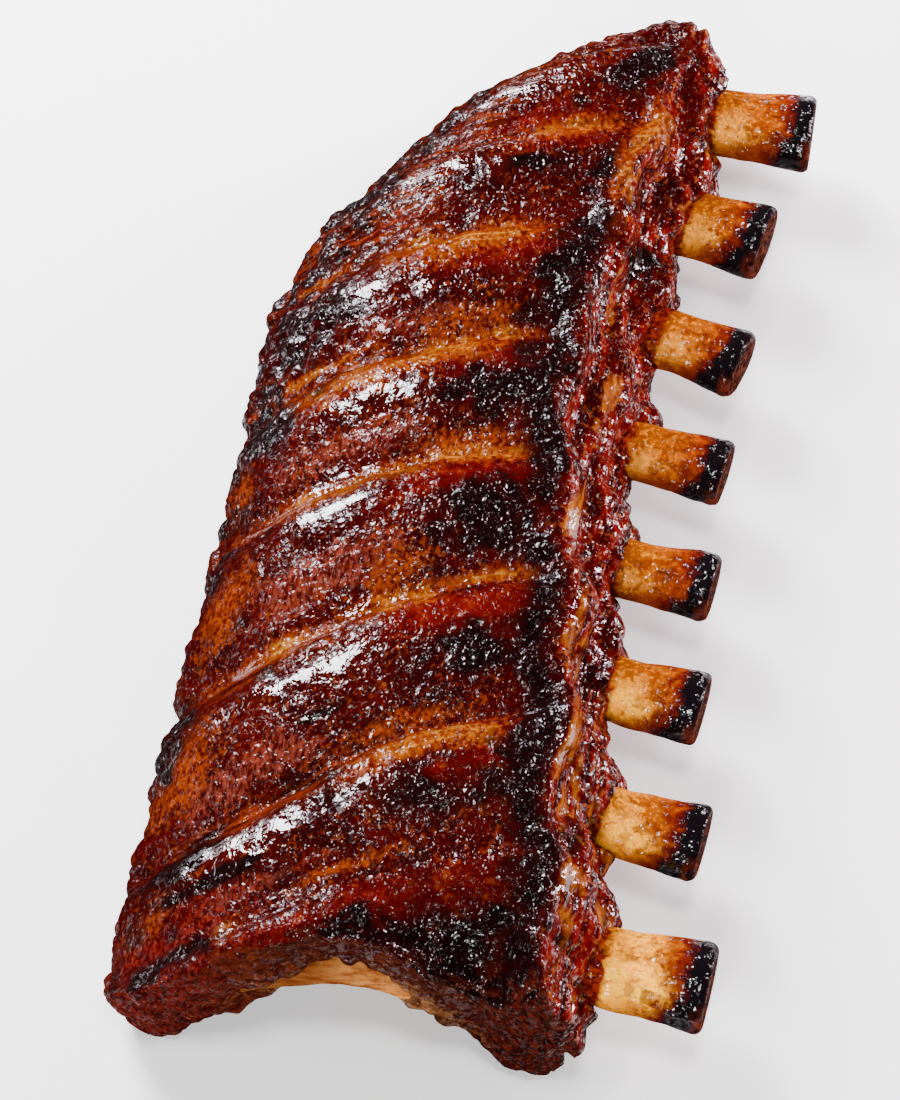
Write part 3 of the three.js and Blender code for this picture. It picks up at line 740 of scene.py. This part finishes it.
# Materials.
class Shader:
    """A material's nodes, made one call at a time. A tone is a node's colour, a list of shares, or
    three screen parts from 0 to 255, which show where the light is level times as bright."""

    def __init__(self, name, level=1.0):
        self.level = level
        self.material = bpy.data.materials.new(name)
        self.material.use_nodes = True
        self.tree = self.material.node_tree
        self.main = self.tree.nodes["Principled BSDF"]
        self.place = self.node("ShaderNodeTexCoord").outputs["Object"]
        self.unrest = 0

    def feed(self, node, values):
        """Links or sets a node's inputs, each by its name or number."""
        for key, value in values.items():
            if isinstance(value, bpy.types.NodeSocket):
                self.tree.links.new(value, node.inputs[key])
            else:
                node.inputs[key].default_value = value

    def node(self, kind, values={}):
        made = self.tree.nodes.new(kind)
        self.feed(made, values)
        return made

    def mark(self, name):
        made = self.node("ShaderNodeAttribute")
        made.attribute_name = name
        return made.outputs["Fac"]

    def marks(self, names):
        """The values that the mesh carries under these names."""
        return SimpleNamespace(**{name: self.mark(name) for name in names})

    def along_humps(self, share, place):
        """Position across the slab and along it, as its humps run, in metres."""
        across, along = self.times(share, SLAB_ACROSS), self.times(place, RIB_SPACING)
        return self.node("ShaderNodeCombineXYZ", {"X": across, "Y": along}).outputs[0]

    def texture(self, kind, size, stretch, where=None):
        """A texture whose features are about size millimetres, and longer where stretched."""
        scale = [1 / (size * METRE * part) for part in stretch]
        place = self.node("ShaderNodeMapping", {"Vector": where or self.place, "Scale": scale})
        return self.node(kind, {"Vector": place.outputs["Vector"], "Scale": 1})

    def grain(self, size, detail=2, stretch=(1, 1, 1), distortion=0, where=None):
        """Noise around 0.5."""
        made = self.texture("ShaderNodeTexNoise", size, stretch, where)
        self.feed(made, {"Detail": detail, "Distortion": distortion})
        return made.outputs["Fac"]

    def cells(self, size, stretch=(1, 1, 1)):
        """Distance from the nearest of many scattered points."""
        return self.texture("ShaderNodeTexVoronoi", size, stretch).outputs["Distance"]

    def math(self, operation, first, second=0):
        made = self.node("ShaderNodeMath", {0: first, 1: second})
        made.operation = operation
        return made.outputs[0]

    def times(self, first, second):
        return self.math("MULTIPLY", first, second)

    def plus(self, first, second):
        return self.math("ADD", first, second)

    def larger(self, first, second):
        return self.math("MAXIMUM", first, second)

    def spread(self, value, low, high, start=0, end=1):
        """Value taken from low..high to start..end, and held there."""
        limits = {"From Min": low, "From Max": high, "To Min": start, "To Max": end}
        made = self.node("ShaderNodeMapRange", {"Value": value, **limits})
        made.clamp = True
        return made.outputs["Result"]

    def scaled(self, value, mark, low, high, start=0, end=1):
        """Value times start where the mark is low, and times end where it is high."""
        return self.times(value, self.spread(mark, low, high, start, end))

    def zone(self, mark, low, high):
        """A mark taken from low..high to 0..1, with its edges broken up by the grain."""
        return self.spread(self.plus(mark, self.unrest), low, high)

    def surface_colour(self, tone):
        """Screen parts as the surface's own colour; any other tone as it is."""
        if not isinstance(tone, tuple):
            return tone
        parts = [part / 255 for part in tone]
        linear = [part / 12.92 if part < 0.04 else ((part + 0.055) / 1.055) ** 2.4 for part in parts]
        return [part / self.level for part in linear] + [1.0]

    def blend(self, share, first, second):
        made = self.node("ShaderNodeMix", {"Factor": share})
        made.data_type = "RGBA"
        below, above = [i for i, socket in enumerate(made.inputs) if socket.type == "RGBA"]
        self.feed(made, {below: self.surface_colour(first), above: self.surface_colour(second)})
        return [socket for socket in made.outputs if socket.type == "RGBA"][0]

    def lay(self, base, tone, mark, low, high, strength):
        """The base with a tone laid at that strength over the mark's zone."""
        return self.blend(self.times(self.zone(mark, low, high), strength), base, tone)

    def mottled(self, value, low, high, first, second, most=1):
        """The first tone, up to most of it turned to the second as the value goes low..high."""
        return self.blend(self.spread(value, low, high, 0, most), first, second)

    def bump(self, height, strength, distance, below=None):
        """A normal for relief of so many millimetres, on top of the normal below."""
        relief = {"Height": height, "Strength": strength, "Distance": distance * METRE}
        made = self.node("ShaderNodeBump", relief)
        if below is not None:
            self.feed(made, {"Normal": below})
        return made.outputs["Normal"]

    def glazed(self, tone, roughness, gloss, normal):
        """The material of a dull tone under a clear coat, which alone mirrors the lights."""
        self.feed(self.main, {
            "Base Color": tone, "Roughness": roughness, "Specular IOR Level": 0, "Normal": normal,
            "Coat Weight": gloss, "Coat Roughness": COAT_ROUGHNESS, "Coat IOR": COAT_IOR,
            "Coat Normal": normal,
        })
        return self.material


def crust_material(names):
    """Glazed crust, whose mesh carries marks of these names."""
    make = Shader("glazed_crust", LIGHT_LEVEL)
    on = make.marks(names)
    humps = make.along_humps(on.share, on.place)
    grain = SimpleNamespace(
        broad=make.grain(16),
        patchy=make.grain(7, distortion=0.3),
        middle=make.grain(4.5, 3, distortion=0.4),
        granule=make.grain(1.1, 1.5, stretch=(1, 1.4, 1), distortion=0.6),
        thread=make.grain(1.25, 1.5, stretch=(8, 1, 1), distortion=0.25, where=humps),
        sinew=make.grain(2, 1.5, stretch=(1, 7, 1), distortion=0.25),
    )
    tremble = make.spread(grain.granule, 0.3, 0.7, -0.3, 0.3)
    make.unrest = make.times(make.plus(make.spread(grain.middle, 0.3, 0.7, -0.22, 0.22), tremble), 0.8)
    base = top_tone(make, on, grain)
    base = side_tone(make, on, grain, base)
    base = cut_tone(make, on, grain, base)
    base = char_tone(make, on, grain, base)
    shine = make.zone(on.wet, 0.35, 0.6)
    return make.glazed(base, 0.6, crust_gloss(make, on, shine), crust_normal(make, on, grain, shine))


def top_tone(make, on, grain):
    """Dark red, dull and pinkish on the humps' flanks (a dry glaze, partly a painted sheen), red and
    golden in the valleys with a painted highlight line in the gold, and fine strands.
    """
    base = make.mottled(grain.broad, 0.35, 0.65, (58, 2, 4), (92, 8, 4))
    base = make.mottled(grain.middle, 0.42, 0.7, base, (46, 3, 6))
    base = make.mottled(grain.granule, 0.54, 0.74, base, (138, 32, 16), 0.5)
    # The pinkish streaks on the humps' flanks: partly a dry glaze, partly a painted sheen.
    streaks = make.grain(0.95, 1.5, stretch=(1, 2.8, 1), distortion=0.5)
    dusty_and_sheen = make.mottled(streaks, 0.4, 0.64, (80, 10, 9), (182, 78, 58))
    base = make.lay(base, dusty_and_sheen, on.matte, 0.25, 0.8, 0.8)
    glow = make.mottled(grain.middle, 0.35, 0.65, (104, 4, 2), (138, 14, 4))
    base = make.lay(base, glow, on.red, 0.2, 1, 0.85)
    amber = make.mottled(grain.granule, 0.38, 0.62, (116, 20, 2), (206, 86, 8))
    base = make.lay(base, amber, on.amber, 0.2, 1.1, 0.85)
    ember = make.mottled(grain.granule, 0.35, 0.62, (104, 12, 2), (170, 58, 6))
    base = make.lay(base, ember, on.golden, 0.05, 0.5, 0.88)
    gold = make.mottled(grain.granule, 0.32, 0.68, (146, 52, 3), (218, 124, 24))
    # Bright gold threads along the valleys: partly fat, partly a painted highlight line.
    gold = make.mottled(grain.thread, 0.55, 0.67, gold, (246, 164, 54))
    gold = make.mottled(grain.patchy, 0.48, 0.62, gold, (168, 62, 5), 0.75)
    base = make.lay(base, gold, on.golden, 0.46, 1.1, 0.92)
    near_left = make.scaled(make.spread(on.place, 6.45, 6.8), on.share, 0.42, 0.2)
    crimson = make.mottled(grain.granule, 0.4, 0.64, (66, 5, 10), (158, 48, 40))
    base = make.blend(make.times(near_left, 0.65), base, crimson)
    threads = make.mottled(grain.thread, 0.42, 0.64, (26, 2, 3), (180, 62, 10))
    return make.lay(base, threads, on.strand, 0.3, 0.9, 0.85)


def side_tone(make, on, grain, base):
    """The stringy red side where the bones come out, with pink flecks that are partly painted glints,
    pale on the backs of its folds.
    """
    flank = make.mottled(grain.sinew, 0.38, 0.62, (60, 3, 11), (166, 24, 19))
    # Pink flecks: partly fat, partly painted glints.
    flank = make.mottled(grain.granule, 0.56, 0.7, flank, (246, 128, 78), 0.75)
    base = make.mottled(on.side, 0, 1, base, flank, 0.92)
    backs = make.mottled(grain.sinew, 0.38, 0.6, (130, 26, 6), (244, 138, 40))
    return make.lay(base, backs, on.pale, 0.3, 0.9, 0.92)


def cut_tone(make, on, grain, base):
    """The browned underside and cut end, redder at its left and right, with a tan band."""
    fibre = make.grain(1.3, 3, stretch=(3.5, 1, 1), distortion=0.6)
    browned = make.mottled(fibre, 0.34, 0.66, (56, 12, 7), (164, 74, 42))
    browned = make.mottled(grain.broad, 0.4, 0.62, browned, (52, 10, 8), 0.6)
    left = make.mottled(grain.granule, 0.4, 0.64, (70, 6, 8), (168, 48, 36))
    browned = make.mottled(on.share, 0.36, 0.16, browned, left, 0.85)
    right = make.mottled(grain.granule, 0.42, 0.66, (40, 5, 8), (136, 42, 26))
    browned = make.mottled(on.share, 0.66, 0.84, browned, right, 0.85)
    base = make.blend(on.brown, base, browned)
    tan = make.mottled(fibre, 0.35, 0.65, (150, 72, 26), (236, 164, 92))
    return make.lay(base, tan, on.band, 0.25, 0.8, 0.85)


def char_tone(make, on, grain, base):
    """Painted shade on the faces turned left and back, then char over everything else, and dark pores.
    """
    # Painted shade: the faces turned left and back are darkened.
    base = make.mottled(on.edge, 0, 1, base, (60, 4, 3), 0.4)
    dark = make.mottled(grain.granule, 0.35, 0.65, (8, 4, 6), (40, 12, 12))
    base = make.blend(make.zone(on.char, 0.3, 0.95), base, dark)
    pore = make.cells(1.5, stretch=(1, 1.3, 1))
    return make.mottled(pore, 0.3, 0, base, (20, 2, 3), 0.4)


def crust_gloss(make, on, shine):
    """How much coat the crust has: beads of glaze, and a film where it is wet."""
    finely = make.larger(on.side, make.larger(on.amber, on.golden))
    drops = make.scaled(make.grain(1.35, 1.5, distortion=0.8), finely, 0, 1, 1, 0)
    fine_drops = make.grain(0.9, 1.5, stretch=(1, 1.6, 1), distortion=0.6)
    drops = make.plus(drops, make.scaled(fine_drops, finely, 0, 1))
    drops = make.math("SUBTRACT", drops, make.times(on.side, 0.005))
    drops = make.spread(drops, 0.51, 0.62, 0.04, 0.58)
    drops = make.scaled(drops, make.larger(make.larger(on.char, on.side), on.sparkle), 0.1, 0.8, 1, 1.8)
    drops = make.scaled(drops, on.red, 0.2, 0.9, 1, 0.4)
    by_crest = make.scaled(make.spread(on.share, 0.7, 0.8), on.side, 0.1, 0.7, 1, 0)
    drops = make.scaled(drops, by_crest, 0, 1, 1, 0.55)
    drops = make.scaled(drops, on.brown, 0.2, 1, 1.0, 0.6)
    drops = make.scaled(drops, on.strand, 0.3, 0.8, 1, 0.65)
    grazing = make.math("SUBTRACT", on.edge, make.times(on.char, 0.15))
    drops = make.scaled(drops, grazing, 0, 0.7, 1, 0.08)
    drops = make.scaled(drops, on.pale, 0.1, 0.7, 1, 0.25)
    rightward = make.spread(on.share, 0.05, 0.3, 0.45, 1)
    drops = make.times(drops, make.larger(rightward, make.spread(on.char, 0.4, 0.95, 0, 0.85)))
    return make.larger(drops, make.scaled(shine, on.edge, 0.3, 0.9, 1, 0.3))


def crust_normal(make, on, grain, shine):
    """Grit, calmer on the side and where it is wet, and the strands and sinews."""
    grit = make.grain(1.55, 1.3, stretch=(1, 1.3, 1), distortion=0.9)
    calm = make.math("SUBTRACT", 1, make.times(make.larger(shine, on.side), 0.6))
    normal = make.bump(make.grain(5, 1), make.spread(shine, 0, 1, 1.0, 0.9), 0.7)
    normal = make.bump(grit, calm, 0.62, normal)
    normal = make.bump(grain.thread, make.times(on.strand, 0.8), 0.6, normal)
    return make.bump(grain.sinew, make.times(on.side, 0.8), 1.1, normal)


def bone_material(names):
    """Roasted bone, whose mesh carries marks of these names."""
    make = Shader("roasted_bone")
    on = make.marks(names)
    grain = SimpleNamespace(
        broad=make.grain(9),
        middle=make.grain(3.2, 3, distortion=0.5),
        fine=make.grain(1.2, distortion=0.4),
        line=make.grain(1.4, stretch=(6, 1, 1)),
        speck=make.cells(1.9),
    )
    tremble = make.spread(grain.fine, 0.3, 0.7, -0.2, 0.2)
    make.unrest = make.plus(make.spread(grain.middle, 0.3, 0.7, -0.4, 0.4), tremble)
    burnt = make.math("SUBTRACT", on.tip, make.spread(on.lift, -0.1, -0.8, 0, 4))
    soft = make.times(make.unrest, 0.55)
    char = make.spread(make.plus(make.spread(burnt, 8.5, 3), soft), 0.3, 0.75)
    base = shaft_tone(make, on, grain)
    base = root_tone(make, on, grain, base)
    scorch = make.spread(make.plus(make.spread(burnt, 12, 4), soft), 0.1, 0.8)
    base = make.blend(scorch, base, (66, 8, 4))
    base = tip_tone(make, on, grain, base, char)
    bubbled = make.scaled(make.spread(on.bare, 0.85, 0.5), grain.middle, 0.46, 0.56)
    bead = make.spread(make.cells(1.7), 0.12, 0.36, 1, 0)
    gloss = bone_gloss(make, on, char, make.times(bubbled, bead))
    rough = make.plus(make.grain(1.1, 1), make.times(grain.line, 0.4))
    normal = make.bump(rough, make.spread(on.tip, 3, 8, 0.35, 1), 0.5)
    return make.glazed(base, 0.55, gloss, make.bump(bead, make.times(bubbled, 0.9), 0.4, normal))


def shaft_tone(make, on, grain):
    """Honey brown, paler towards the root, rusty and blotched towards the tip, with painted light and
    shade: a darker upper face, a pale painted highlight down the middle and painted shade on the lower
    side.
    """
    base = make.mottled(grain.broad, 0.36, 0.64, (146, 70, 0), (104, 38, 0))
    # Painted shade: the faces turned up and away from the near end are a darker honey.
    base = make.mottled(on.lift, 0.1, 0.6, base, (118, 56, 0), 0.8)
    base = make.mottled(grain.fine, 0.52, 0.68, base, (202, 118, 0), 0.7)
    # Paler bone, more so on the paler ribs and towards the root: the bone's own colour, laid down the
    # middle of the shaft as seen from the near end, so partly a painted highlight.
    off_middle = make.math("ABSOLUTE", make.plus(on.lift, 0.2))
    reach = make.plus(on.bare, make.spread(on.paleness, 0.6, 1, 0, 0.2))
    pale = make.plus(make.spread(off_middle, 0.8, 0.1), make.spread(reach, 0.35, 0.75, -1.1, 0))
    pale = make.plus(pale, make.spread(on.paleness, 0, 1, -0.35, 0.5))
    tan = make.mottled(grain.middle, 0.4, 0.65, (204, 132, 40), (172, 98, 20))
    cream = make.mottled(grain.middle, 0.4, 0.65, (255, 180, 30), (252, 152, 14))
    pale_tone = make.mottled(on.paleness, 0.3, 0.8, tan, cream)
    base = make.lay(base, pale_tone, pale, 0.1, 0.9, 0.95)
    rust = make.mottled(grain.middle, 0.36, 0.6, (122, 40, 0), (58, 8, 1))
    toasted = make.plus(on.bare, make.spread(on.paleness, 0.1, 0.6, -0.12, 0.04))
    base = make.lay(base, rust, make.spread(toasted, 0.7, 0.25), 0.3, 0.95, 0.9)
    blotch = make.spread(make.grain(4.2, 3, distortion=0.8), 0.5, 0.62)
    base = make.blend(make.scaled(blotch, toasted, 0.95, 0.65, 0, 0.75), base, (82, 22, 0))
    base = make.mottled(grain.line, 0.54, 0.72, base, (112, 42, 5), 0.3)
    # Painted shade: darker brown over the lower side, darkest along the bottom edge.
    lower = make.scaled(make.zone(make.spread(on.lift, -0.1, -0.6), 0.3, 0.9), on.bare, 0.9, 0.6)
    base = make.blend(make.scaled(lower, on.paleness, 0.6, 1, 0.85, 0.6), base, (100, 32, 1))
    return make.mottled(on.lift, -0.5, -0.95, base, (92, 30, 6), 0.75)


def root_tone(make, on, grain, base):
    """Stains and painted shade where the meat was drawn back, and the tan part under the arch, darker
    further in as painted shade, with dark specks.
    """
    # The root: partly a sauce stain, partly painted shade where the bone goes into the meat.
    root = make.plus(make.spread(on.bare, 0.86, 1), make.spread(grain.middle, 0.3, 0.7, -0.3, 0.3))
    stain_and_shade = make.mottled(grain.fine, 0.4, 0.62, (58, 6, 6), (116, 30, 8))
    base = make.blend(make.scaled(make.spread(root, 0.3, 0.9), on.bare, 1.4, 1.15), base, stain_and_shade)
    inner = make.mottled(grain.line, 0.35, 0.65, (190, 124, 62), (122, 62, 22))
    # Painted shade: the part under the arch turns dark brown further in.
    inner = make.mottled(on.bare, 2.9, 3.7, inner, (70, 30, 9), 0.8)
    base = make.mottled(on.bare, 1.3, 1.6, base, inner)
    return make.mottled(grain.speck, 0.2, 0, base, (62, 12, 3), 0.85)


def tip_tone(make, on, grain, base, char):
    """The blackened tip, a reddish-brown rim on its lower side that is painted light, and its brown end
    face.
    """
    base = make.blend(char, base, (8, 5, 7))
    # Painted light: the lower side of the tip's rim is a lit reddish brown.
    rim = make.scaled(make.spread(on.tip, 3.5, 1.5), on.lift, -0.1, -0.7)
    base = make.blend(make.scaled(rim, grain.middle, 0.35, 0.6), base, (84, 26, 10))
    face = make.mottled(grain.fine, 0.42, 0.66, (14, 6, 5), (78, 34, 18))
    face = make.mottled(grain.middle, 0.44, 0.62, face, (30, 11, 8), 0.7)
    face = make.mottled(grain.speck, 0.25, 0, face, (8, 4, 4), 0.8)
    return make.mottled(on.end_face, 0.04, 0.2, base, face)


def bone_gloss(make, on, char, beads_of_fat):
    """How much coat the bone has: glints, cracked gloss on the char, and beads of fat."""
    gloss = make.spread(make.grain(1.5, 1.5), 0.57, 0.65, 0.02, 1)
    gloss = make.scaled(gloss, on.lift, 0.3, 0.9, 1, 0.3)
    crackle = make.spread(make.grain(2.2, distortion=0.6), 0.42, 0.56, 0.1, 1)
    gloss = make.larger(make.larger(gloss, make.times(char, crackle)), beads_of_fat)
    gloss = make.scaled(gloss, on.bare, 1.1, 1.3, 1, 0.05)
    gloss = make.scaled(gloss, on.end_face, 0.1, 0.3, 1, 0.15)
    gloss = make.scaled(gloss, on.tip, 0.8, 3.0, 0.25, 1)
    return make.scaled(gloss, on.lift, -0.3, -0.8, 1, 0.15)


vertices, quads = crusted_slab()
marks = crust_marks(vertices, smooth_normals(vertices, quads))
meat = made_mesh("glazed_meat", vertices, quads.tolist(), marks)
meat.data.materials.append(crust_material(marks))
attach(meat, "root")
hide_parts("meat")

bone = bone_material(RIB_MARKS)
for number in range(len(RIB_ROOTS)):
    rib = made_mesh(f"roasted_rib_{number + 1}", *rib_surface(number))
    rib.data.materials.append(bone)
    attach(rib, "root")
    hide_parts(f"rib_bone_{number + 1}")


# Floor, camera and light.
def floor_material():
    make = Shader("pale_floor")
    clouded = make.mottled(make.grain(180), 0.4, 0.6, [FLOOR_TONE] * 3 + [1], [FLOOR_CLOUD] * 3 + [1])
    make.feed(make.main, {"Base Color": clouded, "Roughness": 0.8})
    return make.material


bpy.ops.mesh.primitive_plane_add(size=6)
floor = bpy.context.object
floor.name = "floor"
floor.data.materials.append(floor_material())

# The camera looks down on the slab from its near end, a little to the right.
CAMERA_AZIMUTH = math.radians(10)
CAMERA_ELEVATION = math.radians(57)
CAMERA_DISTANCE = 800.0
CAMERA_TARGET = np.array([0.0, 0.0, 20.0])
PIXELS_OF_FOCUS = 3200.0
SENSOR = 36.0

target = (CAMERA_TARGET - ORIGIN) * METRE
back = np.array([
    math.sin(CAMERA_AZIMUTH) * math.cos(CAMERA_ELEVATION),
    -math.cos(CAMERA_AZIMUTH) * math.cos(CAMERA_ELEVATION),
    math.sin(CAMERA_ELEVATION),
])
lens = bpy.data.cameras.new("camera")
lens.sensor_fit = "VERTICAL"
lens.sensor_height = SENSOR
lens.lens = PIXELS_OF_FOCUS / IMAGE_HEIGHT * SENSOR
lens.clip_start = 0.01
camera = bpy.data.objects.new("camera", lens)
camera.location = Vector(target + back * CAMERA_DISTANCE * METRE)
camera.rotation_euler = Vector(back).to_track_quat("Z", "Y").to_euler()
bpy.context.collection.objects.link(camera)
bpy.context.scene.camera = camera


def soft_box(name, direction, distance, width, height, power, tint=(1, 1, 1)):
    """An area light in that direction from the slab, facing it."""
    light = bpy.data.lights.new(name, "AREA")
    light.shape = "RECTANGLE"
    light.size = width
    light.size_y = height
    light.energy = power
    light.color = tint
    lamp = bpy.data.objects.new(name, light)
    away = Vector(direction).normalized()
    lamp.location = away * distance
    lamp.rotation_euler = away.to_track_quat("Z", "Y").to_euler()
    bpy.context.collection.objects.link(lamp)


soft_box("key", (-0.62, 0.62, 0.5), 0.95, 0.36, 0.75, 64, (0.96, 0.93, 1.0))
soft_box("overhead", (0.08, -0.16, 1.0), 1.2, 0.26, 0.26, 11)
soft_box("right_side", (0.85, 0.45, 0.38), 1.0, 0.2, 0.5, 29, (1.0, 0.84, 0.9))
soft_box("front", (-0.05, -0.95, 0.72), 1.1, 0.25, 0.25, 13)
soft_box("left_low", (-1.0, -0.25, 0.35), 1.0, 0.1, 0.3, 4)
soft_box("back_strip", (0.3, 1.0, 0.5), 1.1, 0.12, 0.12, 4)

world = bpy.data.worlds.new("studio")
world.use_nodes = True
sky = world.node_tree.nodes["Background"].inputs
sky["Color"].default_value = (0.9, 0.92, 1.0, 1)
sky["Strength"].default_value = 0.05
bpy.context.scene.world = world
